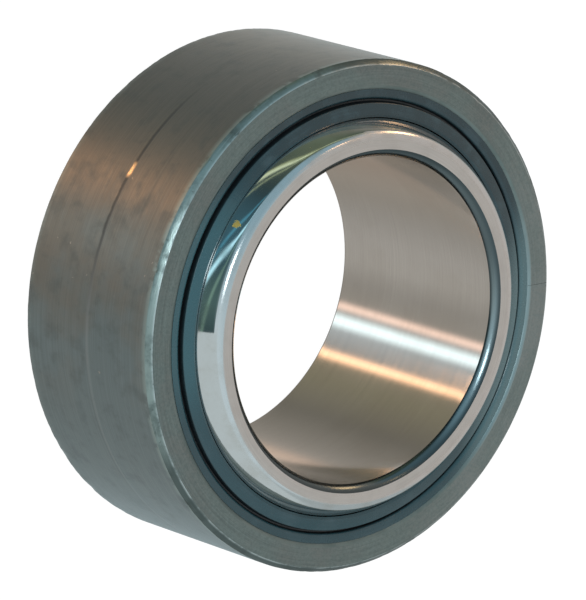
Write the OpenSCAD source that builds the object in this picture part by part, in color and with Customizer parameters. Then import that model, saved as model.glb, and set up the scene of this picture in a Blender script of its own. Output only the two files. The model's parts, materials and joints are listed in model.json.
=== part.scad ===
// Sealed spherical plain bearing: a chromed ball ring swivels in a fabric-lined, once-fractured outer ring.
// The axis is +Z and the origin is the centre of the ball.

/* [Inner ring] */
// Diameter of the bore
bore_d = 30; // [27:0.5:33]
// Thickness of the inner ring at the middle, from bore to ball
inner_wall = 5.35; // [4.9:0.05:6]
// Width of the inner ring
inner_w = 22; // [20:0.5:24]
// Chamfer at each end of the bore
bore_chamfer = 0.7; // [0.3:0.1:1.2]
// Radius of the rounding between each side face and the ball
ball_edge_r = 1; // [0.4:0.1:1.2]

/* [Outer ring] */
// Thickness of the outer ring with its liner at the middle, from ball to outside
outer_wall = 3.15; // [2.8:0.05:4]
// How far the inner ring stands out of the outer ring on each side
inner_overhang = 2; // [1.2:0.1:2.6]
// Chamfer at each end of the outside
outer_chamfer = 0.5; // [0.3:0.1:1]
// Broken edge where each side face meets the seal
face_break = 0.1; // [0.05:0.05:0.3]
// Width of the fracture that lets the ring open over the ball
fracture_gap = 0.06; // [0.03:0.01:0.2]
// How far the fracture wanders to either side
fracture_wander = 0.22; // [0.05:0.01:0.5]
// Place of the fracture around the ring, in degrees
fracture_angle = 15; // [0:5:355]

/* [Sliding liner] */
// Thickness of the fabric liner
liner_t = 0.5; // [0.3:0.05:0.8]
// Adhesive line between liner and outer ring
glue_line = 0.03; // [0.02:0.01:0.05]
// Running clearance between liner and ball
running_gap = 0.05; // [0.02:0.01:0.1]
// Distance from each edge of the liner to the seal groove
liner_set_back = 0.2; // [0.1:0.05:0.6]

/* [Seals] */
// Radial width of a seal at the side face, from ball to groove
seal_w = 2.4; // [1.8:0.1:2.6]
// Depth of the seal groove below the side face
seal_depth = 2.6; // [2.2:0.1:3]
// Radial depth of the undercut that holds the bead of the seal
seal_bead = 0.5; // [0.2:0.05:0.7]
// Height of the bead along the axis
bead_h = 1.1; // [0.7:0.1:1.3]
// Clearance of a seal in its groove
seal_fit = 0.05; // [0.02:0.01:0.1]
// Depth of the rim of a seal below the side face
rim_recess = 0.12; // [0.05:0.01:0.4]
// Radial width of the rim that shows beside the side face
rim_w = 0.7; // [0.5:0.05:1]
// Width of the groove between the rim and the wiping lip
lip_groove_w = 0.35; // [0.2:0.05:0.5]
// Depth of the groove between the rim and the wiping lip
lip_groove_depth = 0.5; // [0.2:0.05:0.6]
// Height of the wiping lip above the side face
lip_rise = 0.2; // [0.1:0.05:0.5]
// Thickness of the wiping lip at its tip
lip_t = 0.3; // [0.2:0.05:0.5]
// Clearance between the lips and the ball
lip_gap = 0.05; // [0.02:0.01:0.1]
// Radius of the grease space between the two lips
grease_r = 0.35; // [0.2:0.05:0.4]

/* [Hidden] */
$fn = 192;

bore_r = bore_d / 2;
ball_r = bore_r + inner_wall;
outer_r = ball_r + outer_wall;
inner_z = inner_w / 2;
face_z = inner_z - inner_overhang;
// A little more than any cut needs, so that no cut ends on a surface
over = 1;

// Spherical layers, from the ball outwards
liner_in_r = ball_r + running_gap;
liner_out_r = liner_in_r + liner_t;
race_r = liner_out_r + glue_line;

// Seal groove: its mouth at the side face, its undercut and its floor
mouth_r = sqrt(pow(ball_r, 2) - pow(face_z, 2)) + seal_w;
undercut_r = mouth_r + seal_bead;
groove_z = face_z - seal_depth;
undercut_z = groove_z + bead_h + 2 * seal_fit;
liner_z = groove_z - liner_set_back;

// Seal: the surface that its lips follow, and the angle of the wiping lip's tip above the mid-plane
lip_r = ball_r + lip_gap;
lip_tip_r = lip_r + lip_t;
lip_angle = asin((face_z + lip_rise) / lip_tip_r);
seal_z = groove_z + seal_fit;
rim_z = face_z - rim_recess;
rim_r = mouth_r - seal_fit;
bead_r = undercut_r - seal_fit;
rim_in_r = rim_r - rim_w;
lip_root_r = rim_in_r - lip_groove_w;
lip_groove_z = rim_z - lip_groove_depth;
lip_groove_draft = lip_groove_w / 4;
rim_edge = rim_w / 5;
grease_angle = (lip_angle + asin(seal_z / lip_r)) / 2;

// Fracture: number of straight runs across the ring and the turn between their wandering ends
fracture_runs = 11;
fracture_turn = 137.5;

function polar(r, a) = r * [cos(a), sin(a)];

// Takes the sharp corner off the upper edge of the ball section, tangent to side face and ball
module ball_edge_cut() {
    centre_z = inner_z - ball_edge_r;
    centre_x = sqrt(pow(ball_r - ball_edge_r, 2) - pow(centre_z, 2));
    ball_angle = atan2(centre_z, centre_x);
    difference() {
        polygon([
            [centre_x, centre_z],
            polar(ball_r + over, ball_angle),
            polar(ball_r + 2 * over, (ball_angle + 90) / 2),
            [centre_x, inner_z + over]
        ]);
        translate([centre_x, centre_z]) circle(r = ball_edge_r);
    }
}

// Section of one end of the bore chamfer, cut outwards from the bore
module bore_chamfer_cut() {
    polygon([
        [bore_r - over, inner_z - bore_chamfer - over],
        [bore_r + bore_chamfer + over, inner_z + over],
        [bore_r - over, inner_z + over]
    ]);
}

module inner_ring_section() {
    difference() {
        intersection() {
            circle(r = ball_r);
            translate([bore_r, -inner_z]) square([ball_r, inner_w]);
        }
        for (side = [0, 1]) mirror([0, side]) {
            ball_edge_cut();
            bore_chamfer_cut();
        }
    }
}

// Section of the groove for one seal, open to the side face and to the ball
module seal_groove_section() {
    polygon([
        [bore_r, groove_z],
        [undercut_r, groove_z],
        [undercut_r, undercut_z],
        [mouth_r, undercut_z + seal_bead],
        [mouth_r, face_z - face_break],
        [mouth_r + face_break + over, face_z + over],
        [bore_r, face_z + over]
    ]);
}

module outer_ring_section() {
    difference() {
        polygon([
            [bore_r, -face_z],
            [outer_r - outer_chamfer, -face_z],
            [outer_r, -face_z + outer_chamfer],
            [outer_r, face_z - outer_chamfer],
            [outer_r - outer_chamfer, face_z],
            [bore_r, face_z]
        ]);
        circle(r = race_r);
        for (side = [0, 1]) mirror([0, side]) seal_groove_section();
    }
}

// A thin wandering cut through one side of the outer ring, seen along its radius
module fracture_cut() {
    step = 2 * (face_z + over) / fracture_runs;
    path = [for (i = [0:fracture_runs]) [fracture_wander * sin(i * fracture_turn), i * step - face_z - over]];
    half_gap = [fracture_gap / 2, 0];
    outline = concat(
        [for (i = [0:fracture_runs]) path[i] - half_gap],
        [for (i = [fracture_runs:-1:0]) path[i] + half_gap]
    );
    rotate([0, 0, fracture_angle]) rotate([90, 0, 90]) linear_extrude(height = outer_r + over) polygon(outline);
}

// Section of one seal: bead, rim, wiping lip and inner lip, with the grease space between the lips
module seal_section() {
    difference() {
        polygon([
            polar(bore_r, lip_angle),
            [bore_r, seal_z],
            [bead_r, seal_z],
            [bead_r, seal_z + bead_h],
            [rim_r, seal_z + bead_h + seal_bead],
            [rim_r, rim_z - rim_edge],
            [rim_r - rim_edge, rim_z],
            [rim_in_r, rim_z],
            [rim_in_r - lip_groove_draft, lip_groove_z],
            [lip_root_r + lip_groove_draft, lip_groove_z],
            [lip_root_r, face_z],
            polar(lip_tip_r, lip_angle)
        ]);
        circle(r = lip_r);
        translate(polar(lip_r, grease_angle)) circle(r = grease_r);
    }
}

module outer_ring() {
    color("#5f5b54") difference() {
        rotate_extrude() outer_ring_section();
        fracture_cut();
    }
}

module sliding_liner() {
    color("#8a6a45") rotate_extrude() difference() {
        intersection() {
            circle(r = liner_out_r);
            translate([bore_r, -liner_z]) square([outer_r, 2 * liner_z]);
        }
        circle(r = liner_in_r);
    }
}

module inner_ring() {
    color("#b3aaa3") rotate_extrude() inner_ring_section();
}

module front_seal() {
    color("#26343a") rotate_extrude() seal_section();
}

module rear_seal() {
    color("#26343a") mirror([0, 0, 1]) rotate_extrude() seal_section();
}

outer_ring();
sliding_liner();
inner_ring();
front_seal();
rear_seal();
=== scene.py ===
import json
import math

import bmesh
import bpy
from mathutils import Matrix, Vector, noise


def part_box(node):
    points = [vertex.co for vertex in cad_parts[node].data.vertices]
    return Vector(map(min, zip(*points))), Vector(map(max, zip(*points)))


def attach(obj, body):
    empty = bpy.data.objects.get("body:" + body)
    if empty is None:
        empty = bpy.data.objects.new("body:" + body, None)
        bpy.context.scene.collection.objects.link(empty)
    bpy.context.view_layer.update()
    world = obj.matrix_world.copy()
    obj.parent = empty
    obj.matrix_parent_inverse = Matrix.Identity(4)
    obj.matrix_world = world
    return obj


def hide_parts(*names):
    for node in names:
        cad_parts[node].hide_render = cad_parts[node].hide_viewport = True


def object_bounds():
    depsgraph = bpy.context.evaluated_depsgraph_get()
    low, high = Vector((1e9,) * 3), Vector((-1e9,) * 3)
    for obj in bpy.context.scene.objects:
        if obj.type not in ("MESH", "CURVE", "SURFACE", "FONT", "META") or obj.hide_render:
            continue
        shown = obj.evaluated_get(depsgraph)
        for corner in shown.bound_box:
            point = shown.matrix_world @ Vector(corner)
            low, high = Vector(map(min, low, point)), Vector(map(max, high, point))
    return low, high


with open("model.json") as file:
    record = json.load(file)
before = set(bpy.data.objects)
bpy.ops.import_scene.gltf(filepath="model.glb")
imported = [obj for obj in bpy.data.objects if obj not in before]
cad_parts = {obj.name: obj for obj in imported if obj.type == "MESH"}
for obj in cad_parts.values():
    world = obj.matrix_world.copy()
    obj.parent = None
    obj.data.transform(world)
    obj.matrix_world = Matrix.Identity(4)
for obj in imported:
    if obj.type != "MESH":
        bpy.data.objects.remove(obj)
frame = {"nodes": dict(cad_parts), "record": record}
cadLow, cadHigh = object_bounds()
print("frame loaded,", len(frame["nodes"]), "nodes")

# sections are drawn in millimetres as (radius, height) about the bore axis
mm = 0.001
mountSizes = {mount["name"]: mount["dims"] for mount in frame["record"]["mounts"]}
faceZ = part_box("outer_ring")[1].z / mm
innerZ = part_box("inner_ring")[1].z / mm
outsideR = mountSizes["housing_seat"]["r_mm"]
boreR = mountSizes["bore"]["r_mm"]
outsideChamfer = faceZ - mountSizes["housing_seat"]["length_mm"] / 2
boreChamfer = innerZ - mountSizes["bore"]["length_mm"] / 2
ballR = 20.35
sealWidth = 2.4
grooveDepth = 2.6
mouthR = math.sqrt(ballR ** 2 - faceZ ** 2) + sealWidth
grooveZ = faceZ - grooveDepth
mergeWithin = 0.001 * mm  # points this close become one
sameTurn = 1e-5  # radians


# section drawing

def onCircle(radius, degrees, centre=(0.0, 0.0)):
    turn = math.radians(degrees)
    return (centre[0] + radius * math.cos(turn), centre[1] + radius * math.sin(turn))


def arcPoints(radius, startDeg, endDeg, steps, centre=(0.0, 0.0)):
    return [onCircle(radius, startDeg + (endDeg - startDeg) * i / steps, centre) for i in range(steps + 1)]


def wrapped(angle):
    return (angle + math.pi) % (2 * math.pi) - math.pi


def roundedCorner(before, corner, after, radius, steps):
    here = Vector(corner)
    back = (Vector(before) - here).normalized()
    ahead = (Vector(after) - here).normalized()
    half = back.angle(ahead) / 2
    reach = radius / math.tan(half)
    centre = here + (back + ahead).normalized() * (radius / math.sin(half))
    start = here + back * reach - centre
    end = here + ahead * reach - centre
    startTurn = math.atan2(start.y, start.x)
    sweep = wrapped(math.atan2(end.y, end.x) - startTurn)
    turns = [startTurn + sweep * i / steps for i in range(steps + 1)]
    return [(centre.x + radius * math.cos(turn), centre.y + radius * math.sin(turn)) for turn in turns]


def roundedSection(corners, longest, steps=4):
    # each corner is (radius, height, rounding), and long runs are divided for even shading
    drawn = []
    for i, (r, z, rounding) in enumerate(corners):
        before, after = corners[i - 1][:2], corners[(i + 1) % len(corners)][:2]
        drawn += roundedCorner(before, (r, z), after, rounding, steps) if rounding else [(r, z)]
    divided = []
    for i, point in enumerate(drawn):
        nextPoint = drawn[(i + 1) % len(drawn)]
        runs = max(1, math.ceil(math.dist(point, nextPoint) / longest))
        divided += [(point[0] + (nextPoint[0] - point[0]) * k / runs,
                     point[1] + (nextPoint[1] - point[1]) * k / runs) for k in range(runs)]
    return divided


def bulged(start, end, rise, rounding, steps=6):
    # a slightly crowned run between two rounded corners, raised on the left of the way
    along = Vector(end) - Vector(start)
    side = Vector((-along.y, along.x)).normalized()
    points = [Vector(start) + along * i / steps + side * rise * 4 * i / steps * (1 - i / steps)
              for i in range(steps + 1)]
    return [(point.x, point.y, rounding if i in (0, steps) else 0.0) for i, point in enumerate(points)]


def unrounded(points):
    return [(r, z, 0.0) for r, z in points]


def mirrored(corners):
    return [(r, -z, rounding) for r, z, rounding in reversed(corners)]


# modelling

def pickOnly(piece):
    bpy.ops.object.select_all(action="DESELECT")
    piece.select_set(True)
    bpy.context.view_layer.objects.active = piece


def turnSection(name, section, steps, startDeg=0.0, sweepDeg=360.0):
    bpy.ops.object.select_all(action="DESELECT")
    bpy.ops.mesh.primitive_circle_add(vertices=len(section), radius=section[0][0] * mm)
    piece = bpy.context.active_object
    piece.name = piece.data.name = name
    start = math.radians(startDeg)
    for vert, (r, z) in zip(piece.data.vertices, section):
        vert.co = (r * mm * math.cos(start), r * mm * math.sin(start), z * mm)
    turned = piece.modifiers.new("turned", "SCREW")
    turned.axis = "Z"
    turned.angle = math.radians(sweepDeg)
    turned.steps = turned.render_steps = steps
    turned.use_merge_vertices = sweepDeg == 360
    turned.merge_threshold = mergeWithin
    bpy.ops.object.modifier_apply(modifier=turned.name)
    bpy.ops.object.mode_set(mode="EDIT")
    bpy.ops.mesh.select_all(action="SELECT")
    bpy.ops.mesh.remove_doubles(threshold=mergeWithin)
    if sweepDeg < 360:
        closeEnds(piece, startDeg)
    bpy.ops.mesh.select_all(action="SELECT")
    bpy.ops.mesh.normals_make_consistent(inside=False)
    bpy.ops.object.mode_set(mode="OBJECT")
    return piece


def closeEnds(piece, startDeg):
    # fills the two open section loops one after the other
    start = math.radians(startDeg)
    for atStart in (True, False):
        bpy.ops.mesh.select_all(action="DESELECT")
        shape = bmesh.from_edit_mesh(piece.data)
        for edge in shape.edges:
            if edge.is_boundary:
                middle = (edge.verts[0].co + edge.verts[1].co) / 2
                offset = wrapped(math.atan2(middle.y, middle.x) - start)
                edge.select_set((abs(offset) < sameTurn) == atStart)
        bmesh.update_edit_mesh(piece.data)
        bpy.ops.mesh.edge_face_add()


def evenShading(piece, angleDeg, weight=70):
    pickOnly(piece)
    bpy.ops.object.shade_smooth_by_angle(angle=math.radians(angleDeg))
    weigh = piece.modifiers.new("evenShading", "WEIGHTED_NORMAL")
    weigh.weight = weight
    weigh.keep_sharp = True
    bpy.ops.object.modifier_apply(modifier=weigh.name)


def dress(piece, finishes, chooseFinish):
    # finishes are put on by the radius, the height and the lean of each face
    for finish in finishes:
        piece.data.materials.append(finish)
    for face in piece.data.polygons:
        middle = face.center / mm
        chosen = chooseFinish(math.hypot(middle.x, middle.y), abs(middle.z), abs(face.normal.z))
        face.material_index = finishes.index(chosen)


# material helpers

def feed(tree, socket, value):
    if isinstance(value, bpy.types.NodeSocket):
        tree.links.new(value, socket)
    else:
        socket.default_value = (*value, 1.0) if socket.type == "RGBA" else value


def addNode(tree, kind, values=None, **settings):
    made = tree.nodes.new(kind)
    for name, value in settings.items():
        setattr(made, name, value)
    for socket, value in (values or {}).items():
        feed(tree, made.inputs[socket], value)
    return made


def calc(tree, operation, first, second=0.0, third=None):
    made = addNode(tree, "ShaderNodeMath", {0: first, 1: second}, operation=operation)
    if third is not None:
        feed(tree, made.inputs[2], third)
    return made.outputs[0]


def product(tree, first, *others):
    for other in others:
        first = calc(tree, "MULTIPLY", first, other)
    return first


def vectorCalc(tree, operation, values, output=0):
    return addNode(tree, "ShaderNodeVectorMath", values, operation=operation).outputs[output]


def scaled(tree, vector, factor):
    return vectorCalc(tree, "SCALE", {0: vector, 3: factor})


def blendColour(tree, mask, under, over, mode="MIX"):
    made = addNode(tree, "ShaderNodeMix", {0: mask, 6: under, 7: over}, data_type="RGBA", blend_type=mode)
    return made.outputs[2]


def stretch(tree, value, low, high, outLow=0.0, outHigh=1.0):
    made = addNode(tree, "ShaderNodeMapRange", {"Value": value, "From Min": low, "From Max": high,
                                                "To Min": outLow, "To Max": outHigh},
                   interpolation_type="SMOOTHSTEP")
    return made.outputs[0]


def grainNoise(tree, vector, scale, detail, roughness):
    made = addNode(tree, "ShaderNodeTexNoise", {"Vector": vector, "Scale": scale, "Detail": detail,
                                                "Roughness": roughness})
    return made.outputs[0]


def ringPlace(tree):
    # place on the ring in millimetres: the point, its parts, its radius and its direction from the axis
    coords = addNode(tree, "ShaderNodeTexCoord").outputs["Object"]
    point = scaled(tree, coords, 1 / mm)
    across, sideways, height = addNode(tree, "ShaderNodeSeparateXYZ", {0: point}).outputs
    flat = vectorCalc(tree, "MULTIPLY", {0: point, 1: (1.0, 1.0, 0.0)})
    return {"point": point, "across": across, "sideways": sideways, "height": height,
            "radius": vectorCalc(tree, "LENGTH", {0: flat}, "Value"),
            "outward": vectorCalc(tree, "NORMALIZE", {0: flat})}


def newGroup(name, inputs, outputs):
    group = bpy.data.node_groups.new(name, "ShaderNodeTree")
    for label, value in inputs.items():
        socket = group.interface.new_socket(label, in_out="INPUT", socket_type="NodeSocketFloat")
        socket.default_value = value
    for label in outputs:
        group.interface.new_socket(label, in_out="OUTPUT", socket_type="NodeSocketFloat")
    return group, group.nodes.new("NodeGroupInput").outputs, group.nodes.new("NodeGroupOutput").inputs


def useGroup(tree, group, values):
    made = addNode(tree, "ShaderNodeGroup", node_tree=group)
    for label, value in values.items():
        feed(tree, made.inputs[label], value)
    return made.outputs


# inner detail of the marks that the finishes share
markForm = {
    "lineDetail": 4.0,
    "lineRoughness": 0.65,
    "lineShares": {"Lines": 1.0, "Bands": 0.12},
    "toneLines": (0.25, 0.75),
    "patchDetail": 5.0,
    "patchRoughness": 0.6,
    "nickWarp": (0.7, 0.7, 0.7),
    "nickWarpScale": 2.5,
    "nickWarpDetail": 3.0,
}


def latheMarkGroup():
    # fine rings left by turning and grinding, drifting slowly around the axis
    group, given, out = newGroup("latheMarks", {"Height Share": 1.0, "Radius Share": 0.0,
                                                "Fineness": 8.0, "Drift": 1.5}, ["Lines", "Bands"])
    place = ringPlace(group)
    across = calc(group, "ADD", product(group, place["height"], given["Height Share"]),
                  product(group, place["radius"], given["Radius Share"]))
    drift = scaled(group, place["outward"], given["Drift"])
    for label, share in markForm["lineShares"].items():
        lift = addNode(group, "ShaderNodeCombineXYZ", {2: product(group, across, given["Fineness"], share)})
        spot = vectorCalc(group, "ADD", {0: drift, 1: lift.outputs[0]})
        lines = grainNoise(group, spot, 1.0, markForm["lineDetail"], markForm["lineRoughness"])
        group.links.new(lines, out[label])
    return group


def mottleGroup():
    # soft patches of another tone
    group, given, out = newGroup("mottle", {"Scale": 0.2, "Low": 0.4, "High": 0.6}, ["Patch"])
    patch = grainNoise(group, ringPlace(group)["point"], given["Scale"], markForm["patchDetail"],
                       markForm["patchRoughness"])
    group.links.new(stretch(group, patch, given["Low"], given["High"]), out["Patch"])
    return group


def nickGroup():
    # scattered small marks of uneven shape
    group, given, out = newGroup("nicks", {"Scale": 1.0, "Size": 0.25, "Share": 0.3}, ["Nick"])
    point = ringPlace(group)["point"]
    warp = addNode(group, "ShaderNodeTexNoise", {"Vector": point, "Scale": markForm["nickWarpScale"],
                                                 "Detail": markForm["nickWarpDetail"]})
    spot = vectorCalc(group, "MULTIPLY_ADD", {0: warp.outputs["Color"], 1: markForm["nickWarp"], 2: point})
    cells = addNode(group, "ShaderNodeTexVoronoi", {"Vector": spot, "Scale": given["Scale"]})
    chance = addNode(group, "ShaderNodeSeparateColor", {0: cells.outputs["Color"]}).outputs[0]
    chosen = calc(group, "LESS_THAN", chance, given["Share"])
    close = stretch(group, cells.outputs["Distance"], 0.0, given["Size"], 1.0, 0.0)
    group.links.new(product(group, close, chosen), out["Nick"])
    return group


latheMarks = latheMarkGroup()
mottle = mottleGroup()
nicks = nickGroup()


def patches(tree, values):
    return useGroup(tree, mottle, values)["Patch"]


def lineToned(tree, colour, lines, tones):
    # lathe marks darken and lighten a colour
    return scaled(tree, colour, stretch(tree, lines, *markForm["toneLines"], *tones))


def makeFinish(name, look, paint):
    # paint gives the colour, the roughness and a fine relief, whose depth is in millimetres
    finish = bpy.data.materials.new(name)
    finish.use_nodes = True
    tree = finish.node_tree
    shader = tree.nodes["Principled BSDF"]
    for socket, value in look["shader"].items():
        feed(tree, shader.inputs[socket], value)
    colour, rough, relief = paint(tree, look)
    strength, depth = look["relief"]
    bump = addNode(tree, "ShaderNodeBump", {"Height": relief, "Strength": strength, "Distance": depth * mm})
    for socket, value in (("Base Color", colour), ("Roughness", rough), ("Normal", bump.outputs[0])):
        tree.links.new(value, shader.inputs[socket])
    if "Anisotropic" in look["shader"]:
        # tangent around the axis, for light drawn out across the lathe marks
        tangent = addNode(tree, "ShaderNodeTangent", direction_type="RADIAL", axis="Z")
        tree.links.new(tangent.outputs[0], shader.inputs["Tangent"])
    return finish


# each look has its shader's values, its colours, the values of its marks, and then ranges and shares
# a range is (from, to), or (from, to, given there, given there), in millimetres or by the mark's strength
# Across and Beside are places along X and Y
outsideLook = {
    "shader": {"Metallic": 0.6, "Anisotropic": 0.5, "Anisotropic Rotation": 0.25, "Sheen Weight": 0.62,
               "Sheen Roughness": 0.4, "Sheen Tint": (0.86, 0.97, 1.0)},
    "brown": (0.213, 0.184, 0.149),
    "greenGrey": (0.190, 0.223, 0.222),
    "darkPatchAndShade": (0.110, 0.114, 0.106),
    "worn": (0.33, 0.385, 0.36),
    "darkScratch": (0.055, 0.050, 0.046),
    "lightScratch": (0.34, 0.34, 0.33),
    "speck": (0.42, 0.36, 0.30),
    "paintedGlint": (1.0, 0.66, 0.36),
    "lathe": {"Fineness": 14.0, "Drift": 2.0},
    "broadPatches": {"Scale": 0.09, "Low": 0.36, "High": 0.66},
    "smallPatches": {"Scale": 0.55, "Low": 0.45, "High": 0.75},
    "dots": {"Scale": 0.6, "Size": 0.08, "Share": 0.2},
    "broadShift": -10.0,
    "greyBeside": (1.0, -16.0),
    "smallShare": 0.45,
    "paintedShadeUpperBeside": (10.5, 16.0, 0.0, 0.5),
    "paintedShadeUpperEndBeside": (23.2, 20.0),
    "lineTone": (0.84, 1.15),
    "wornWidth": 0.75,
    "wornByPatch": (0.0, 0.6, 0.9, 0.15),
    "wornByHeight": (-2.0, 2.0, 0.3, 1.0),
    "scratchHeight": 0.1,
    "scratchWaver": 0.12,
    "scratchWidth": (0.04, 0.30, 1.0, 0.0),
    "scratchEndBeside": (14.0, 18.5, 1.0, 0.0),
    "scratchToneBeside": (-8.0, 4.0),
    "scratchShareBeside": (-14.0, 6.0, 0.25, 0.8),
    "paintedGlintDeg": 157.0,
    "paintedGlintReach": (0.35, 1.0, 1.0, 0.0),
    "paintedGlintWidth": (0.08, 0.34, 1.0, 0.0),
    "rough": (0.2, 0.8, 0.40, 0.50),
    "patchRough": 0.06,
    "polish": 0.2,
    "patchRelief": 0.5,
    "scratchRelief": 1.5,
    "relief": (0.35, 0.02),
}


def paintOutside(tree, look):
    place = ringPlace(tree)
    height, sideways = place["height"], place["sideways"]
    fine = useGroup(tree, latheMarks, look["lathe"])
    broad = patches(tree, look["broadPatches"])
    small = patches(tree, look["smallPatches"])
    dots = useGroup(tree, nicks, look["dots"])["Nick"]
    shifted = calc(tree, "ADD", sideways, product(tree, broad, look["broadShift"]))
    colour = blendColour(tree, stretch(tree, shifted, *look["greyBeside"]), look["brown"], look["greenGrey"])
    colour = blendColour(tree, product(tree, small, look["smallShare"]), colour, look["darkPatchAndShade"])
    # painted shade: the outside is darker towards +Y, in a band from Y of about 11 to 23 mm
    paintedShadeUpper = product(tree, stretch(tree, sideways, *look["paintedShadeUpperBeside"]),
                        stretch(tree, sideways, *look["paintedShadeUpperEndBeside"]))
    colour = blendColour(tree, paintedShadeUpper, colour, look["darkPatchAndShade"])
    colour = lineToned(tree, colour, fine["Lines"], look["lineTone"])
    # rubbed towards the chamfers
    edgeZ = faceZ - outsideChamfer
    wearAndPaintedHighlight = product(tree, stretch(tree, calc(tree, "ABSOLUTE", height), edgeZ - look["wornWidth"], edgeZ),
                     stretch(tree, small, *look["wornByPatch"]), stretch(tree, height, *look["wornByHeight"]))
    colour = blendColour(tree, wearAndPaintedHighlight, colour, look["worn"])
    # a scored line around the middle, with a polished dent on it that carries a painted orange glint
    waver = product(tree, calc(tree, "SUBTRACT", small, 0.5), look["scratchWaver"])
    above = calc(tree, "SUBTRACT", calc(tree, "ADD", height, waver), look["scratchHeight"])
    offLine = calc(tree, "ABSOLUTE", above)
    onLine = product(tree, stretch(tree, offLine, *look["scratchWidth"]),
                     stretch(tree, sideways, *look["scratchEndBeside"]))
    scratch = blendColour(tree, stretch(tree, sideways, *look["scratchToneBeside"]), look["lightScratch"],
                          look["darkScratch"])
    scored = product(tree, onLine, stretch(tree, sideways, *look["scratchShareBeside"]))
    colour = blendColour(tree, scored, colour, scratch)
    # painted glint: a bright orange spot on the scored line
    paintedGlintPlace = (*onCircle(outsideR, look["paintedGlintDeg"]), look["scratchHeight"])
    away = vectorCalc(tree, "DISTANCE", {0: place["point"], 1: paintedGlintPlace}, "Value")
    paintedGlint = product(tree, stretch(tree, away, *look["paintedGlintReach"]),
                     stretch(tree, offLine, *look["paintedGlintWidth"]))
    colour = blendColour(tree, paintedGlint, colour, look["paintedGlint"])
    colour = blendColour(tree, dots, colour, look["speck"])
    rough = calc(tree, "ADD", stretch(tree, fine["Bands"], *look["rough"]),
                 product(tree, small, look["patchRough"]))
    polished = product(tree, calc(tree, "MAXIMUM", dots, paintedGlint), look["polish"])
    relief = calc(tree, "ADD", fine["Lines"], product(tree, small, look["patchRelief"]))
    relief = calc(tree, "SUBTRACT", relief, product(tree, onLine, look["scratchRelief"]))
    return colour, calc(tree, "SUBTRACT", rough, polished), relief


faceLook = {
    "shader": {"Metallic": 0.65},
    "base": (0.208, 0.250, 0.232),
    "dark": (0.163, 0.194, 0.180),
    "warm": (0.216, 0.232, 0.214),
    "light": (0.40, 0.40, 0.38),
    "paintedLightSide": (0.42, 0.46, 0.45),
    "lathe": {"Height Share": 0.0, "Radius Share": 1.0, "Fineness": 12.0, "Drift": 2.5},
    "grain": {"Scale": 4.5, "Low": 0.35, "High": 0.7},
    "broadPatches": {"Scale": 0.16, "Low": 0.38, "High": 0.62},
    "marks": {"Scale": 0.6, "Size": 0.09, "Share": 0.12},
    "grainShare": 0.6,
    "lineTone": (0.86, 1.14),
    "paintedLightSideAcross": (9.0, 22.0, 0.0, 0.32),
    "paintedLightSideByPatch": (0.0, 1.0, 0.5, 1.0),
    "rough": (0.0, 1.0, 0.40, 0.55),
    "relief": (0.3, 0.02),
}


def paintFace(tree, look):
    fine = useGroup(tree, latheMarks, look["lathe"])
    grain = patches(tree, look["grain"])
    broad = patches(tree, look["broadPatches"])
    marks = useGroup(tree, nicks, look["marks"])["Nick"]
    colour = blendColour(tree, broad, look["base"], look["warm"])
    colour = blendColour(tree, product(tree, grain, look["grainShare"]), colour, look["dark"])
    colour = lineToned(tree, colour, fine["Lines"], look["lineTone"])
    # painted light: the face is lighter towards +X, in broad patches
    paintedLightSide = product(tree, stretch(tree, ringPlace(tree)["across"], *look["paintedLightSideAcross"]),
                      stretch(tree, broad, *look["paintedLightSideByPatch"]))
    colour = blendColour(tree, paintedLightSide, colour, look["paintedLightSide"])
    colour = blendColour(tree, marks, colour, look["light"])
    return colour, stretch(tree, grain, *look["rough"]), calc(tree, "ADD", fine["Lines"], grain)


chamferLook = {
    "shader": {"Metallic": 0.75},
    "base": (0.24, 0.29, 0.27),
    "wearAndPaintedHighlight": (0.33, 0.40, 0.375),
    "paintedChamferShade": (0.115, 0.14, 0.132),
    "dark": (0.085, 0.105, 0.098),
    "bright": (0.62, 0.67, 0.65),
    "lathe": {"Height Share": 0.7, "Radius Share": -0.7, "Fineness": 10.0, "Drift": 6.0},
    "patches": {"Scale": 0.5, "Low": 0.40, "High": 0.70},
    "dents": {"Scale": 1.8, "Size": 0.3, "Share": 0.4},
    "paintedHighlightAcross": (-18.0, -21.0),
    "paintedChamferShadeAcross": (-11.0, -6.0),
    "paintedChamferShadeBeside": (-13.0, -16.5),
    "patchShare": 0.7,
    "brightLines": (0.55, 0.75, 0.0, 0.35),
    "brightByChamferShade": (0.0, 1.0, 1.0, 0.25),
    "edgeWidth": 0.14,
    "edgeShare": 0.8,
    "edgeInside": (1.6, 1.2),
    "edgeByPatch": (0.0, 1.0, 1.0, 0.2),
    "dentShare": 0.7,
    "rough": (0.0, 1.0, 0.28, 0.45),
    "relief": (0.4, 0.03),
}


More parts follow.
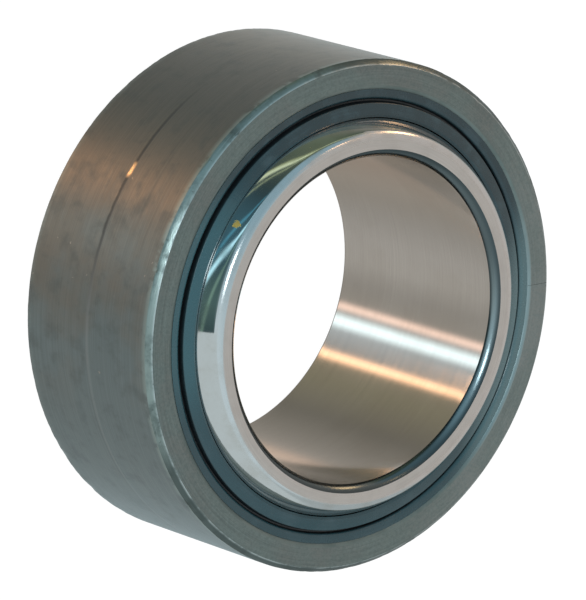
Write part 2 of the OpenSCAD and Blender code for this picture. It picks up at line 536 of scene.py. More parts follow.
def paintChamfer(tree, look):
    fine = useGroup(tree, latheMarks, look["lathe"])
    patch = patches(tree, look["patches"])
    dents = useGroup(tree, nicks, look["dents"])["Nick"]
    place = ringPlace(tree)
    # painted highlight: the chamfer is lighter towards -X
    wearAndPaintedHighlight = stretch(tree, place["across"], *look["paintedHighlightAcross"])
    colour = blendColour(tree, wearAndPaintedHighlight, look["base"], look["wearAndPaintedHighlight"])
    # painted shade: the chamfer is darker towards +X and towards -Y, and its bright lathe lines fade there
    paintedChamferShade = calc(tree, "MAXIMUM", stretch(tree, place["across"], *look["paintedChamferShadeAcross"]),
                  stretch(tree, place["sideways"], *look["paintedChamferShadeBeside"]))
    colour = blendColour(tree, paintedChamferShade, colour, look["paintedChamferShade"])
    colour = blendColour(tree, product(tree, patch, look["patchShare"]), colour, look["dark"])
    lines = product(tree, stretch(tree, fine["Lines"], *look["brightLines"]),
                    stretch(tree, paintedChamferShade, *look["brightByChamferShade"]))
    # the edge towards the face is rubbed bright
    height = calc(tree, "ABSOLUTE", place["height"])
    edge = product(tree, stretch(tree, height, faceZ - look["edgeWidth"], faceZ, 0.0, look["edgeShare"]),
                   stretch(tree, place["radius"], *[outsideR - inside for inside in look["edgeInside"]]),
                   stretch(tree, patch, *look["edgeByPatch"]))
    colour = blendColour(tree, calc(tree, "MAXIMUM", lines, edge), colour, look["bright"])
    colour = blendColour(tree, product(tree, dents, look["dentShare"]), colour, look["dark"])
    return colour, stretch(tree, patch, *look["rough"]), calc(tree, "SUBTRACT", fine["Lines"], dents)


mouthEdgeLook = {
    "shader": {"Metallic": 0.8},
    "base": (0.235, 0.282, 0.265),
    "dark": (0.165, 0.20, 0.185),
    "wearAndPaintedHighlight": (0.34, 0.42, 0.42),
    "lathe": {"Height Share": 0.7, "Radius Share": -0.7, "Fineness": 7.0, "Drift": 2.0},
    "patches": {"Scale": 0.3, "Low": 0.40, "High": 0.65},
    "darkShare": 0.5,
    "paintedHighlightAcross": (15.5, 20.5),
    "rough": (0.0, 1.0, 0.40, 0.52),
    "relief": (0.15, 0.01),
}


def paintMouthEdge(tree, look):
    fine = useGroup(tree, latheMarks, look["lathe"])
    patch = patches(tree, look["patches"])
    mixed = product(tree, calc(tree, "ADD", fine["Lines"], patch), look["darkShare"])
    colour = blendColour(tree, mixed, look["base"], look["dark"])
    # painted highlight: the mouth edge is lighter towards +X
    wearAndPaintedHighlight = stretch(tree, ringPlace(tree)["across"], *look["paintedHighlightAcross"])
    colour = blendColour(tree, wearAndPaintedHighlight, colour, look["wearAndPaintedHighlight"])
    return colour, stretch(tree, patch, *look["rough"]), fine["Lines"]


grooveLook = {
    "shader": {"Metallic": 0.5},
    "dark": (0.05, 0.05, 0.047),
    "light": (0.13, 0.13, 0.12),
    "lathe": {"Height Share": 0.7, "Radius Share": 0.7, "Fineness": 8.0, "Drift": 1.5},
    "rough": (0.2, 0.8, 0.4, 0.6),
    "relief": (0.3, 0.02),
}


def paintGroove(tree, look):
    fine = useGroup(tree, latheMarks, look["lathe"])
    colour = blendColour(tree, fine["Lines"], look["dark"], look["light"])
    return colour, stretch(tree, fine["Bands"], *look["rough"]), fine["Lines"]


boreLook = {
    "shader": {"Metallic": 1.0, "Anisotropic": 0.8, "Anisotropic Rotation": 0.25},
    "base": (0.64, 0.62, 0.595),
    "dull": (0.57, 0.54, 0.505),
    "lathe": {"Fineness": 16.0, "Drift": 1.2},
    "patches": {"Scale": 0.12, "Low": 0.4, "High": 0.65},
    "patchShare": 0.5,
    "lineTone": (0.94, 1.05),
    "rough": (0.2, 0.8, 0.13, 0.17),
    "relief": (0.06, 0.004),
}

endFaceLook = {
    "shader": {"Metallic": 1.0},
    "base": (0.665, 0.655, 0.625),
    "dull": (0.575, 0.565, 0.535),
    "lathe": {"Height Share": 0.0, "Radius Share": 1.0, "Fineness": 14.0, "Drift": 2.0},
    "patches": {"Scale": 0.5, "Low": 0.4, "High": 0.7},
    "patchShare": 0.5,
    "lineTone": (0.93, 1.06),
    "rough": (0.2, 0.8, 0.26, 0.36),
    "relief": (0.25, 0.012),
}


def paintGround(tree, look):
    fine = useGroup(tree, latheMarks, look["lathe"])
    patch = patches(tree, look["patches"])
    colour = blendColour(tree, product(tree, patch, look["patchShare"]), look["base"], look["dull"])
    colour = lineToned(tree, colour, fine["Lines"], look["lineTone"])
    return colour, stretch(tree, fine["Bands"], *look["rough"]), fine["Lines"]


boreChamferLook = {
    "shader": {"Metallic": 1.0},
    "dark": (0.085, 0.105, 0.108),
    "light": (0.33, 0.40, 0.41),
    "lathe": {"Height Share": 0.7, "Radius Share": 0.7, "Fineness": 9.0, "Drift": 1.5},
    "paintedShadeFloor": 0.22,
    "paintedReflectionBeside": ((-11.0, -6.0), (9.0, 1.0)),
    "fromBore": (0.06, 0.30),
    "fromFace": (0.02, 0.30),
    "lineShine": (0.3, 0.7, 0.85, 1.0),
    "rough": (0.2, 0.8, 0.18, 0.24),
    "relief": (0.06, 0.006),
}


def paintBoreChamfer(tree, look):
    fine = useGroup(tree, latheMarks, look["lathe"])
    place = ringPlace(tree)
    height = calc(tree, "ABSOLUTE", place["height"])
    # painted reflection: the chamfer is light across the middle of its width and dark at both edges, full
    # where Y is between -6 and 1 mm and down to a share of 0.22 towards +Y and -Y, broken up by the lathe
    # lines
    paintedReflectionBand = product(tree, *[stretch(tree, place["sideways"], start, end, look["paintedShadeFloor"], 1.0)
                            for start, end in look["paintedReflectionBeside"]])
    inside = product(tree, stretch(tree, height, *[innerZ - boreChamfer + up for up in look["fromBore"]]),
                     stretch(tree, height, *[innerZ - down for down in look["fromFace"]]))
    shine = product(tree, inside, paintedReflectionBand, stretch(tree, fine["Lines"], *look["lineShine"]))
    colour = blendColour(tree, shine, look["dark"], look["light"])
    return colour, stretch(tree, fine["Bands"], *look["rough"]), fine["Lines"]


ballLook = {
    "shader": {"Metallic": 1.0},
    "clear": (0.70, 0.71, 0.70),
    "hazy": (0.62, 0.61, 0.58),
    "speck": (0.62, 0.50, 0.22),
    "fleck": (0.95, 0.66, 0.20),
    "lathe": {"Fineness": 9.0, "Drift": 2.0},
    "haze": {"Scale": 0.4, "Low": 0.4, "High": 0.75},
    "specks": {"Scale": 0.7, "Size": 0.12, "Share": 0.10},
    "fleckOutline": {"Scale": 2.2, "Low": 0.3, "High": 0.7},
    "fleckDeg": 158.5,
    "fleckHeight": 9.70,
    "fleckReach": 0.58,
    "fleckFade": 0.12,
    "fleckWarp": 0.42,
    "stuckRough": 0.6,
    "rough": (0.0, 1.0, 0.05, 0.10),
    "relief": (0.04, 0.004),
}
ballEdgeLook = {**ballLook, "rough": (0.0, 1.0, 0.18, 0.26)}


def paintBall(tree, look):
    fine = useGroup(tree, latheMarks, look["lathe"])
    haze = patches(tree, look["haze"])
    specks = useGroup(tree, nicks, look["specks"])["Nick"]
    colour = blendColour(tree, haze, look["clear"], look["hazy"])
    colour = blendColour(tree, specks, colour, look["speck"])
    fleckR = math.sqrt(ballR ** 2 - look["fleckHeight"] ** 2)
    fleckPlace = (*onCircle(fleckR, look["fleckDeg"]), look["fleckHeight"])
    warp = patches(tree, look["fleckOutline"])
    away = vectorCalc(tree, "DISTANCE", {0: ringPlace(tree)["point"], 1: fleckPlace}, "Value")
    spread = calc(tree, "ADD", away, product(tree, warp, look["fleckWarp"]))
    fleck = stretch(tree, spread, look["fleckReach"], look["fleckReach"] - look["fleckFade"])
    colour = blendColour(tree, fleck, colour, look["fleck"])
    stuck = product(tree, calc(tree, "MAXIMUM", specks, fleck), look["stuckRough"])
    rough = calc(tree, "MAXIMUM", stretch(tree, haze, *look["rough"]), stuck)
    return colour, rough, calc(tree, "ADD", fine["Lines"], specks)


sealForm = {
    "lipR": 20.40,
    "lipTipR": 20.70,
    "lipRise": 0.2,
    "lipRound": 0.04,
    "lipTipRound": 0.1,
    "lipRootRound": 0.12,
    "fit": 0.05,
    "bead": 0.5,
    "beadHeight": 1.1,
    "rimRecess": 0.12,
    "rimWidth": 0.7,
    "rimFit": 0.02,
    "rimRound": 0.44,
    "lipGrooveWidth": 0.35,
    "lipGrooveDepth": 0.5,
    "lipGrooveDraft": 0.0875,
    "lipGrooveRound": 0.04,
    "greaseR": 0.35,
    "edgeRound": 0.06,
    "steps": 480,
    "flareSteps": 6,
    "greaseSteps": 14,
    "lipSteps": 8,
    "longestRun": 0.6,
    "smoothDeg": 40,
}

sealLook = {
    "shader": {"Metallic": 0.0, "Specular IOR Level": 0.7},
    "base": (0.017, 0.046, 0.054),
    "paintedLightBelow": (0.021, 0.070, 0.083),
    "dusty": (0.052, 0.102, 0.116),
    "paintedLightLeft": (0.042, 0.130, 0.150),
    "paintedRimHighlight": (0.120, 0.205, 0.215),
    "grease": (0.004, 0.007, 0.009),
    "grain": {"Scale": 3.0, "Low": 0.42, "High": 0.7},
    "film": {"Scale": 0.35, "Low": 0.45, "High": 0.7},
    "flow": {"Height Share": 0.5, "Radius Share": 1.0, "Fineness": 5.0, "Drift": 2.5},
    "dustByFlow": (0.35, 0.7, 0.2, 0.9),
    "paintedLightBelowBeside": (15.0, 4.0),
    "paintedLightLeftAcross": (-12.0, -17.5),
    "paintedLightLeftBeside": ((11.0, 5.0), (-13.0, -6.0)),
    "paintedRimHighlightAcross": (15.5, 19.5),
    "greaseReach": 0.25,
    "greaseRough": 0.2,
    "rough": (0.0, 2.0, 0.24, 0.42),
    "relief": (0.1, 0.01),
}


def paintSeal(tree, look):
    grain = patches(tree, look["grain"])
    film = patches(tree, look["film"])
    flow = useGroup(tree, latheMarks, look["flow"])["Lines"]
    place = ringPlace(tree)
    across, sideways = place["across"], place["sideways"]
    # painted light: the seal is lighter towards -X, most where Y is between -6 and 5 mm
    paintedLightLeft = product(tree, stretch(tree, across, *look["paintedLightLeftAcross"]),
                   *[stretch(tree, sideways, start, end) for start, end in look["paintedLightLeftBeside"]])
    # painted shade: the groove between rim and lip is made nearly black and rougher
    grooveR = mouthR - sealForm["rimFit"] - sealForm["rimWidth"] - sealForm["lipGrooveWidth"] / 2
    off = calc(tree, "ABSOLUTE", calc(tree, "SUBTRACT", place["radius"], grooveR))
    layers = {
        # painted light: teal and lighter towards -Y
        "paintedLightBelow": stretch(tree, sideways, *look["paintedLightBelowBeside"]),
        "dusty": product(tree, film, stretch(tree, flow, *look["dustByFlow"])),
        "paintedLightLeft": paintedLightLeft,
        # painted highlight: lighter towards +X
        "paintedRimHighlight": stretch(tree, across, *look["paintedRimHighlightAcross"]),
        "grease": stretch(tree, off, look["greaseReach"], look["greaseReach"] / 2),
    }
    colour = look["base"]
    for tone, mask in layers.items():
        colour = blendColour(tree, mask, colour, look[tone])
    rough = calc(tree, "ADD", stretch(tree, calc(tree, "ADD", grain, film), *look["rough"]),
                 product(tree, layers["grease"], look["greaseRough"]))
    return colour, rough, calc(tree, "ADD", grain, flow)


linerLook = {
    "shader": {"Metallic": 0.0},
    "warp": (0.30, 0.19, 0.085),
    "weft": (0.20, 0.125, 0.058),
    "resin": (0.075, 0.045, 0.020),
    "fray": {"Scale": 4.0, "Low": 0.3, "High": 0.75},
    "threadsAround": 180.0,
    "threadsPerMm": 1.6,
    "crossing": (-0.15, 0.15),
    "resinInGaps": (0.05, 0.3, 0.9, 0.0),
    "resinByFray": 0.35,
    "rough": (0.0, 1.0, 0.55, 0.8),
    "frayRelief": 0.3,
    "relief": (0.6, 0.08),
}


def paintLiner(tree, look):
    # plain weave: threads run around and along, each passing over and under in turn
    place = ringPlace(tree)
    turn = calc(tree, "ARCTAN2", place["sideways"], place["across"])
    around = product(tree, turn, look["threadsAround"] / 2)
    along = product(tree, place["height"], math.pi * look["threadsPerMm"])
    weave = product(tree, calc(tree, "SINE", around), calc(tree, "SINE", along))
    gap = calc(tree, "ABSOLUTE", weave)
    fray = patches(tree, look["fray"])
    colour = blendColour(tree, stretch(tree, weave, *look["crossing"]), look["warp"], look["weft"])
    colour = blendColour(tree, stretch(tree, gap, *look["resinInGaps"]), colour, look["resin"])
    colour = blendColour(tree, product(tree, fray, look["resinByFray"]), colour, look["resin"])
    relief = calc(tree, "ADD", gap, product(tree, fray, look["frayRelief"]))
    return colour, stretch(tree, fray, *look["rough"]), relief


outsideFinish = makeFinish("phosphatedOutside", outsideLook, paintOutside)
faceFinish = makeFinish("phosphatedFace", faceLook, paintFace)
chamferFinish = makeFinish("wornChamfer", chamferLook, paintChamfer)
mouthEdgeFinish = makeFinish("turnedMouthEdge", mouthEdgeLook, paintMouthEdge)
grooveFinish = makeFinish("phosphatedGroove", grooveLook, paintGroove)
boreFinish = makeFinish("groundBore", boreLook, paintGround)
endFaceFinish = makeFinish("groundEndFace", endFaceLook, paintGround)
boreChamferFinish = makeFinish("turnedBoreChamfer", boreChamferLook, paintBoreChamfer)
ballFinish = makeFinish("polishedBall", ballLook, paintBall)
ballEdgeFinish = makeFinish("tumbledBallEdge", ballEdgeLook, paintBall)
sealFinish = makeFinish("mouldedSeal", sealLook, paintSeal)
linerFinish = makeFinish("wovenLiner", linerLook, paintLiner)
print("finishes made")


# outer ring

outerRingForm = {
    "raceR": 20.93,
    "undercut": 0.5,
    "undercutHeight": 1.2,
    "grooveRound": 0.05,
    "mouthRound": 0.5,
    "edgeRound": 0.05,
    "chamferCrown": 0.025,
    "steps": 540,
    "raceSteps": 24,
    "mouthSteps": 8,
    "longestRun": 0.7,
    "smoothDeg": 35,
    "fractureDeg": 15.0,
    "fractureGap": 0.025,
    "fractureWander": 0.22,
    "fractureRuns": 11,
    "fractureTurn": 137.5,
    "fractureOver": 1.0,
    "fractureReach": 5.0,
    "nickDepth": 0.06,
    "nickReach": 0.16,
    "nickSpread": 11.0,
    "nickSide": 7.0,
    "nickEdge": 3.0,
    "nickLayers": ((1.0, 2.2, 0.15), (0.6, 5.5, 0.1)),  # share, fineness and least noise
    "faceMargin": 0.1,
    "faceSkin": 0.05,
    "flatLean": 0.5,
    "faceLean": 0.94,
    "outsideLean": 0.34,
}


def fractureOffset(height):
    # the same wandering path that the cut in the frame follows
    form = outerRingForm
    end = faceZ + form["fractureOver"]
    place = (height + end) * form["fractureRuns"] / (2 * end)
    run = min(max(int(place), 0), form["fractureRuns"] - 1)
    low, high = (math.sin(math.radians(i * form["fractureTurn"])) for i in (run, run + 1))
    return form["fractureWander"] * (low + (high - low) * (place - run))


def wearEdge(r, z, turn):
    # small nicks along the two edges of each outside chamfer
    form = outerRingForm
    toOutside = math.hypot(r - outsideR, abs(z) - (faceZ - outsideChamfer))
    toFace = math.hypot(r - (outsideR - outsideChamfer), abs(z) - faceZ)
    near = max(0.0, 1.0 - min(toOutside, toFace) / form["nickReach"])
    if near == 0.0:
        return r, z
    level = math.copysign(form["nickSide"], z) + (form["nickEdge"] if toFace < toOutside else 0.0)
    spot = Vector((math.cos(turn) * form["nickSpread"], math.sin(turn) * form["nickSpread"], level))
    dent = sum(share * max(0.0, noise.noise(spot * fineness) - least)
               for share, fineness, least in form["nickLayers"])
    depth = near * dent * form["nickDepth"]
    return r - depth, z - math.copysign(depth, z)


def buildOuterRing():
    form = outerRingForm
    raceR, undercut, mouth = form["raceR"], form["undercut"], form["mouthRound"]
    raceEnd = math.degrees(math.asin(grooveZ / raceR))
    race = unrounded(arcPoints(raceR, -raceEnd, raceEnd, form["raceSteps"])[1:-1])
    undercutZ = grooveZ + form["undercutHeight"]
    chamfer = bulged((outsideR, faceZ - outsideChamfer), (outsideR - outsideChamfer, faceZ),
                     -form["chamferCrown"], form["edgeRound"])
    upper = [
        (*onCircle(raceR, raceEnd), form["grooveRound"]),
        (mouthR + undercut, grooveZ, 0.0),
        (mouthR + undercut, undercutZ, 0.0),
        (mouthR, undercutZ + undercut, form["grooveRound"]),
        *unrounded(arcPoints(mouth, 180, 90, form["mouthSteps"], (mouthR + mouth, faceZ - mouth))),
        *reversed(chamfer),
    ]
    section = roundedSection(race + upper + mirrored(upper), form["longestRun"])
    gapDeg = math.degrees(form["fractureGap"] / outsideR)
    ring = turnSection("outerRing", section, form["steps"], form["fractureDeg"] + gapDeg / 2, 360 - gapDeg)
    middle = math.radians(form["fractureDeg"])
    for vert in ring.data.vertices:
        point = vert.co / mm
        r, turn = math.hypot(point.x, point.y), math.atan2(point.y, point.x)
        r, z = wearEdge(r, point.z, turn)
        share = max(0.0, 1 - abs(wrapped(turn - middle)) * r / form["fractureReach"])
        turn += share * share * fractureOffset(point.z) / r
        vert.co = Vector((r * math.cos(turn), r * math.sin(turn), z)) * mm
    evenShading(ring, form["smoothDeg"])

    def chooseFinish(r, z, lean):
        if r < outsideR - outsideChamfer - form["faceMargin"]:
            if z > faceZ - mouth and r < mouthR + mouth:
                return mouthEdgeFinish
            return faceFinish if z > faceZ - form["faceSkin"] and lean > form["flatLean"] else grooveFinish
        if lean > form["faceLean"]:
            return faceFinish
        return outsideFinish if lean < form["outsideLean"] else chamferFinish
    dress(ring, [outsideFinish, faceFinish, chamferFinish, grooveFinish, mouthEdgeFinish], chooseFinish)
    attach(ring, "outer_ring")
    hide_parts("outer_ring")
    print("outer ring built,", len(ring.data.polygons), "faces")


# inner ring

innerRingForm = {
    "ballEdgeR": 1.0,
    "edgeRound": 0.04,
    "chamferCrown": 0.09,
    "steps": 540,
    "ballSteps": 72,
    "edgeSteps": 10,
    "chamferSteps": 8,
    "longestRun": 0.7,
    "smoothDeg": 35,
    "boreMargin": 0.02,
    "boreLean": 0.2,
    "faceSkin": 0.01,
    "ballSkin": 0.005,
}


def buildInnerRing():
    form = innerRingForm
    edgeR = form["ballEdgeR"]
    edgeZ = innerZ - edgeR
    edgeX = math.sqrt((ballR - edgeR) ** 2 - edgeZ ** 2)
    ballEnd = math.degrees(math.atan2(edgeZ, edgeX))
    ball = unrounded(arcPoints(ballR, -ballEnd, ballEnd, form["ballSteps"])[1:-1])
    upper = unrounded(arcPoints(edgeR, ballEnd, 90, form["edgeSteps"], (edgeX, edgeZ)))
    upper += bulged((boreR + boreChamfer, innerZ), (boreR, innerZ - boreChamfer),
                    -form["chamferCrown"], form["edgeRound"], form["chamferSteps"])
    section = roundedSection(ball + upper + mirrored(upper), form["longestRun"])
    ring = turnSection("innerRing", section, form["steps"])
    evenShading(ring, form["smoothDeg"])

    def chooseFinish(r, z, lean):
        if r < boreR + boreChamfer + form["boreMargin"]:
            return boreFinish if lean < form["boreLean"] else boreChamferFinish
        if z > innerZ - form["faceSkin"]:
            return endFaceFinish
        return ballEdgeFinish if math.hypot(r, z) < ballR - form["ballSkin"] else ballFinish
    dress(ring, [boreFinish, boreChamferFinish, endFaceFinish, ballFinish, ballEdgeFinish], chooseFinish)
    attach(ring, "inner_ring")
    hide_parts("inner_ring")
    print("inner ring built,", len(ring.data.polygons), "faces")


# seals

def buildSeals():
    form = sealForm
    edge, lipR, draft = form["edgeRound"], form["lipR"], form["lipGrooveDraft"]
    baseZ = grooveZ + form["fit"]
    beadTopZ = baseZ + form["beadHeight"]
    rimR = mouthR - form["rimFit"]
    beadR = mouthR - form["fit"] + form["bead"]
    rimZ = faceZ - form["rimRecess"]
    rimInR = rimR - form["rimWidth"]
    lipRootR = rimInR - form["lipGrooveWidth"]
    lipGrooveZ = rimZ - form["lipGrooveDepth"]
    lipDeg = math.degrees(math.asin((faceZ + form["lipRise"]) / form["lipTipR"]))
    baseDeg = math.degrees(math.asin(baseZ / lipR))
    # a grease space lies between the two lips
    greaseDeg = (lipDeg + baseDeg) / 2
    halfGrease = math.degrees(2 * math.asin(form["greaseR"] / (2 * lipR)))
    greaseFrom, greaseTo = greaseDeg + halfGrease, greaseDeg - halfGrease
    centre = onCircle(lipR, greaseDeg)

    def fromCentre(degrees):
        point = onCircle(lipR, degrees)
        return math.degrees(math.atan2(point[1] - centre[1], point[0] - centre[0]))
    space = arcPoints(form["greaseR"], fromCentre(greaseFrom), fromCentre(greaseTo), form["greaseSteps"],
                      centre)
    # the rim follows the rounded mouth of the outer ring, a little inside it
    mouth = outerRingForm["mouthRound"]
    flareR = mouth + form["rimFit"]
    flareDeg = 180 - math.degrees(math.asin((mouth - form["rimRecess"]) / flareR))
    corners = [
        (*onCircle(lipR, baseDeg), 0.0),
        (beadR, baseZ, edge),
        (beadR, beadTopZ, edge),
        (rimR, beadTopZ + form["bead"], edge),
        *unrounded(arcPoints(flareR, 180, flareDeg, form["flareSteps"], (mouthR + mouth, faceZ - mouth))),
        (rimInR, rimZ, form["rimRound"]),
        (rimInR - draft, lipGrooveZ, form["lipGrooveRound"]),
        (lipRootR + draft, lipGrooveZ, form["lipGrooveRound"]),
        (lipRootR, faceZ, form["lipRootRound"]),
        (*onCircle(form["lipTipR"], lipDeg), form["lipTipRound"]),
        (*onCircle(lipR, lipDeg), form["lipRound"]),
    ]
    lips = arcPoints(lipR, lipDeg, greaseFrom, form["lipSteps"])[1:-1] + space
    lips += arcPoints(lipR, greaseTo, baseDeg, form["lipSteps"])[1:-1]
    section = roundedSection(corners + unrounded(lips), form["longestRun"])
    front = turnSection("frontSeal", section, form["steps"])
    evenShading(front, form["smoothDeg"])
    dress(front, [sealFinish], lambda r, z, lean: sealFinish)
    pickOnly(front)
    bpy.ops.object.duplicate()
    rear = bpy.context.active_object
    rear.name = rear.data.name = "rearSeal"
    bpy.ops.object.mode_set(mode="EDIT")
    bpy.ops.mesh.select_all(action="SELECT")
    bpy.ops.transform.rotate(value=math.pi, orient_axis="X", center_override=(0, 0, 0))
    bpy.ops.object.mode_set(mode="OBJECT")
    for seal, node in ((front, "front_seal"), (rear, "rear_seal")):
        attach(seal, "seals")
        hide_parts(node)
    print("seals built,", len(front.data.polygons), "faces each")


def dressLiner():
    liner = frame["nodes"]["sliding_liner"]
    liner.data.materials.clear()
    liner.data.materials.append(linerFinish)
    print("liner dressed")


buildOuterRing()
buildInnerRing()
buildSeals()
dressLiner()


# floor, light and camera

studio = {
    "floorSide": 1.6,
    "floorTone": (0.55, 0.55, 0.54),
    "shownTone": (0.12, 0.12, 0.12),
    "white": (1.0, 1.0, 1.0),
    "floorGlow": 0.985,
}

# what polished surfaces mirror, by direction: a ring below, a dark band at eye level and a dome above
room = {
    "ringStops": [
        (0, (0.62, 0.57, 0.52)), (26, (0.58, 0.54, 0.49)), (62, (0.345, 0.325, 0.29)),
        (96, (0.21, 0.20, 0.17)), (126, (0.30, 0.28, 0.20)), (140, (0.34, 0.31, 0.23)),
        (152, (0.42, 0.46, 0.47)), (160, (0.54, 0.60, 0.62)), (184, (0.42, 0.40, 0.36)),
        (197, (0.41, 0.395, 0.365)), (214, (0.52, 0.505, 0.47)), (232, (0.50, 0.485, 0.455)),
        (252, (0.42, 0.405, 0.375)), (268, (0.385, 0.36, 0.32)), (284, (0.41, 0.37, 0.32)),
        (310, (0.38, 0.315, 0.26)), (330, (0.46, 0.40, 0.34)), (360, (0.62, 0.57, 0.52)),
    ],
    "ringStreaks": {
        "peachLamp": {"at": 179.5, "half": 2.4, "tone": (1.25, 0.82, 0.64)},
        "coolLamp": {"at": 169.0, "half": 3.8, "tone": (1.22, 1.52, 1.60)},
        "creamLamp": {"at": 144.0, "half": 2.6, "tone": (2.6, 1.45, 0.80)},
        "lowPeachLamp": {"at": 38.0, "half": 8.0, "tone": (0.30, 0.15, 0.07)},
    },
    "bandTone": (0.034, 0.060, 0.068),
    "bandMiddle": 2.0,
    "bandStreaks": {
        "olive": {"at": 88.0, "half": 22.0, "tone": (0.10, 0.11, 0.05)},
        "thinOlive": {"at": 96.0, "half": 3.5, "slant": 9.0, "tone": (0.26, 0.28, 0.13)},
        "gold": {"at": 107.5, "half": 5.0, "slant": 7.0, "tone": (0.72, 0.80, 0.52)},
        "thinGold": {"at": 126.0, "half": 3.0, "slant": 9.0, "tone": (0.30, 0.34, 0.19)},
        "thinBlue": {"at": 176.0, "half": 3.0, "slant": 5.0, "tone": (0.05, 0.22, 0.31)},
        "blue": {"at": 152.0, "half": 16.0, "tone": (0.02, 0.07, 0.10)},
        "cool": {"at": 182.0, "half": 3.0, "slant": 3.0, "tone": (0.66, 1.12, 1.28)},
        "thinGreen": {"at": 216.0, "half": 3.2, "slant": 5.0, "tone": (0.13, 0.21, 0.15)},
        "green": {"at": 186.0, "half": 12.0, "tone": (0.05, 0.09, 0.08)},
    },
    "domeLeft": (0.30, 0.45, 0.53),
    "domeRight": (0.64, 0.75, 0.80),
    "domeSides": (-0.4, 0.4),
    "ringToBand": (-0.25, -0.05),
    "bandToDome": (0.22, 0.36),
}

# each lamp: direction from the part, distance and side in metres, brightness of its face, colour
lamps = {
    "coolKey": {"towards": (-0.66, 0.13, 0.74), "far": 0.60, "side": 0.13, "bright": 8.0,
                "tone": (0.84, 0.95, 1.0)},
    "warmSide": {"towards": (0.265, 0.655, 0.707), "far": 0.26, "side": 0.016, "bright": 8.0,
                 "tone": (1.0, 0.60, 0.32)},
    "warmBack": {"towards": (0.575, 0.785, 0.21), "far": 0.26, "side": 0.045, "bright": 7.0,
                 "tone": (1.0, 0.58, 0.28)},
    "warmLow": {"towards": (-0.72, 0.37, -0.59), "far": 0.076, "side": 0.013, "bright": 6.0,
                "tone": (1.0, 0.52, 0.24)},
}

# curved cards around the part, seen only in reflections
cards = {
    "whiteCard": {"radius": 0.20, "fromDeg": 200.5, "toDeg": 300.0, "bottom": -0.034, "top": 0.21,
                  "bright": 0.68, "tone": (0.86, 0.97, 1.0)},
    "blueCard": {"radius": 0.30, "fromDeg": 300.0, "toDeg": 333.0, "bottom": -0.045, "top": 0.30,
                 "bright": 0.52, "tone": (0.84, 0.96, 1.0)},
    "roseCard": {"radius": 0.32, "fromDeg": -27.0, "toDeg": 70.0, "bottom": -0.011, "top": 0.62,
                 "bright": 0.58, "tone": (1.0, 0.93, 0.89)},
    "lowCard": {"radius": 0.33, "fromDeg": -80.0, "toDeg": 40.0, "bottom": -0.26, "top": -0.011,
                "bright": 0.50, "tone": (0.93, 1.0, 1.0)},
}


def addLamps():
    for name, lamp in lamps.items():
        data = bpy.data.lights.new(name, "AREA")
        data.shape = "SQUARE"
        data.size = lamp["side"]
        data.energy = lamp["bright"] * math.pi * lamp["side"] ** 2
        data.color = lamp["tone"]
        towards = Vector(lamp["towards"]).normalized()
        made = bpy.data.objects.new(name, data)
        made.location = towards * lamp["far"]
        made.rotation_euler = towards.to_track_quat("Z", "Y").to_euler()
        made.visible_camera = False
        bpy.context.scene.collection.objects.link(made)


def emptyTree(holder):
    holder.use_nodes = True
    holder.node_tree.nodes.clear()
    return holder.node_tree


def showSurface(tree, kind, shader):
    tree.links.new(shader.outputs[0], addNode(tree, kind).inputs["Surface"])


def byCamera(tree, lit, shown):
    # the camera sees a white ground, and the part gets the light
    seen = addNode(tree, "ShaderNodeLightPath").outputs["Is Camera Ray"]
    return addNode(tree, "ShaderNodeMixShader", {0: seen, 1: lit.outputs[0], 2: shown.outputs[0]})


def addCards():
    for name, card in cards.items():
        bpy.ops.object.select_all(action="DESELECT")
        bpy.ops.mesh.primitive_grid_add(x_subdivisions=48, y_subdivisions=2, size=1.0)
        made = bpy.context.active_object
        made.name = made.data.name = name
        for vert in made.data.vertices:
            across, up = vert.co.x + 0.5, vert.co.y + 0.5
            turn = math.radians(card["fromDeg"] + (card["toDeg"] - card["fromDeg"]) * across)
            vert.co = (card["radius"] * math.cos(turn), card["radius"] * math.sin(turn),
                       card["bottom"] + (card["top"] - card["bottom"]) * up)
        finish = bpy.data.materials.new(name)
        tree = emptyTree(finish)
        glow = addNode(tree, "ShaderNodeEmission", {"Color": card["tone"], "Strength": card["bright"]})
        showSurface(tree, "ShaderNodeOutputMaterial", glow)
        made.data.materials.append(finish)
        made.visible_camera = False


def addFloor():
    bpy.ops.object.select_all(action="DESELECT")
    bpy.ops.mesh.primitive_plane_add(size=studio["floorSide"], location=(0, 0, cadLow.z))
    floor = bpy.context.active_object
    floor.name = floor.data.name = "paleFloor"
    finish = bpy.data.materials.new("paleFloor")
    tree = emptyTree(finish)
    plain = addNode(tree, "ShaderNodeBsdfDiffuse", {"Color": studio["floorTone"]})
    faint = addNode(tree, "ShaderNodeBsdfDiffuse", {"Color": studio["shownTone"]})
    white = addNode(tree, "ShaderNodeEmission", {"Color": studio["white"], "Strength": studio["floorGlow"]})
    shown = addNode(tree, "ShaderNodeAddShader", {0: faint.outputs[0], 1: white.outputs[0]})
    showSurface(tree, "ShaderNodeOutputMaterial", byCamera(tree, plain, shown))
    floor.data.materials.append(finish)
    # polished walls mirror the room below, and the low lamp shines through
    floor.visible_glossy = False
    floor.visible_shadow = False


def addStreaks(tree, turn, rise, under, streaks):
    for streak in streaks.values():
        slanted = calc(tree, "MULTIPLY_ADD", rise, streak.get("slant", 0.0), turn)
        away = calc(tree, "ABSOLUTE", calc(tree, "SUBTRACT", slanted, streak["at"]))
        weight = stretch(tree, away, 0.0, 2 * streak["half"], 1.0, 0.0)
        under = blendColour(tree, weight, under, streak["tone"], "ADD")
    return under


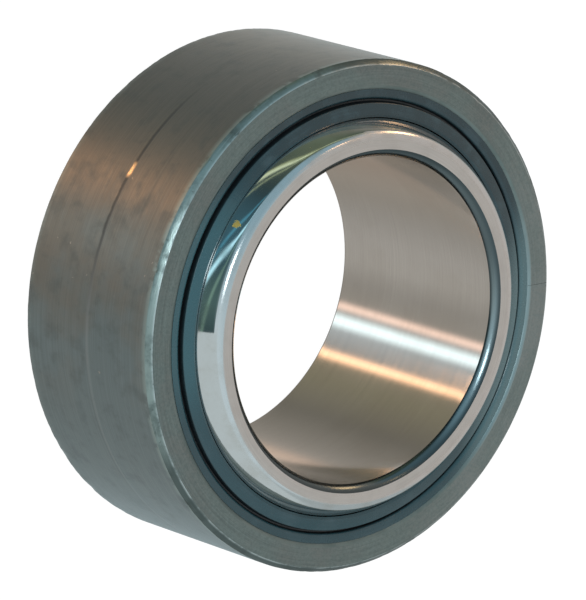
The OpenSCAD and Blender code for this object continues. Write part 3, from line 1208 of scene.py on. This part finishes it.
def addRoom():
    world = bpy.data.worlds.new("studioRoom")
    bpy.context.scene.world = world
    tree = emptyTree(world)
    x, y, z = addNode(tree, "ShaderNodeSeparateXYZ",
                      {0: addNode(tree, "ShaderNodeTexCoord").outputs["Generated"]}).outputs
    # turn runs from 0 to 360 degrees, with its seam towards +X
    half = calc(tree, "ARCTAN2", product(tree, y, -1.0), product(tree, x, -1.0))
    turn = calc(tree, "ADD", calc(tree, "DEGREES", half), 180.0)
    ramp = addNode(tree, "ShaderNodeValToRGB", {0: calc(tree, "DIVIDE", turn, 360.0)})
    stops = room["ringStops"]
    while len(ramp.color_ramp.elements) < len(stops):
        ramp.color_ramp.elements.new(0.5)
    for element, (at, tone) in zip(ramp.color_ramp.elements, stops):
        element.position = at / 360
        element.color = (*tone, 1.0)
    # degrees above the middle of what the ball shows of the band
    rise = calc(tree, "SUBTRACT", calc(tree, "DEGREES", calc(tree, "ARCSINE", z)), room["bandMiddle"])
    ring = addStreaks(tree, turn, rise, ramp.outputs[0], room["ringStreaks"])
    band = addStreaks(tree, turn, rise, room["bandTone"], room["bandStreaks"])
    dome = blendColour(tree, stretch(tree, y, *room["domeSides"]), room["domeRight"], room["domeLeft"])
    colour = blendColour(tree, stretch(tree, z, *room["ringToBand"]), ring, band)
    colour = blendColour(tree, stretch(tree, z, *room["bandToDome"]), colour, dome)
    lit = addNode(tree, "ShaderNodeBackground", {"Color": colour})
    white = addNode(tree, "ShaderNodeBackground", {"Color": studio["white"]})
    showSurface(tree, "ShaderNodeOutputWorld", byCamera(tree, lit, white))


view = {
    "place": (-0.366556, 0.038357, 0.418005),
    "turnDeg": (-14.3265, -39.2962, 15.9782),
    "lens": 367.913,
    "sensor": 36.0,
    "clip": (0.01, 20.0),
}


def addCamera():
    data = bpy.data.cameras.new("photoCamera")
    data.sensor_width = view["sensor"]
    data.lens = view["lens"]
    data.clip_start, data.clip_end = view["clip"]
    made = bpy.data.objects.new("photoCamera", data)
    made.location = view["place"]
    made.rotation_euler = [math.radians(turn) for turn in view["turnDeg"]]
    bpy.context.scene.collection.objects.link(made)
    bpy.context.scene.camera = made


addRoom()
addFloor()
addCards()
addLamps()
addCamera()
bpy.context.scene.view_settings.view_transform = "Standard"
print("floor, light and camera placed")
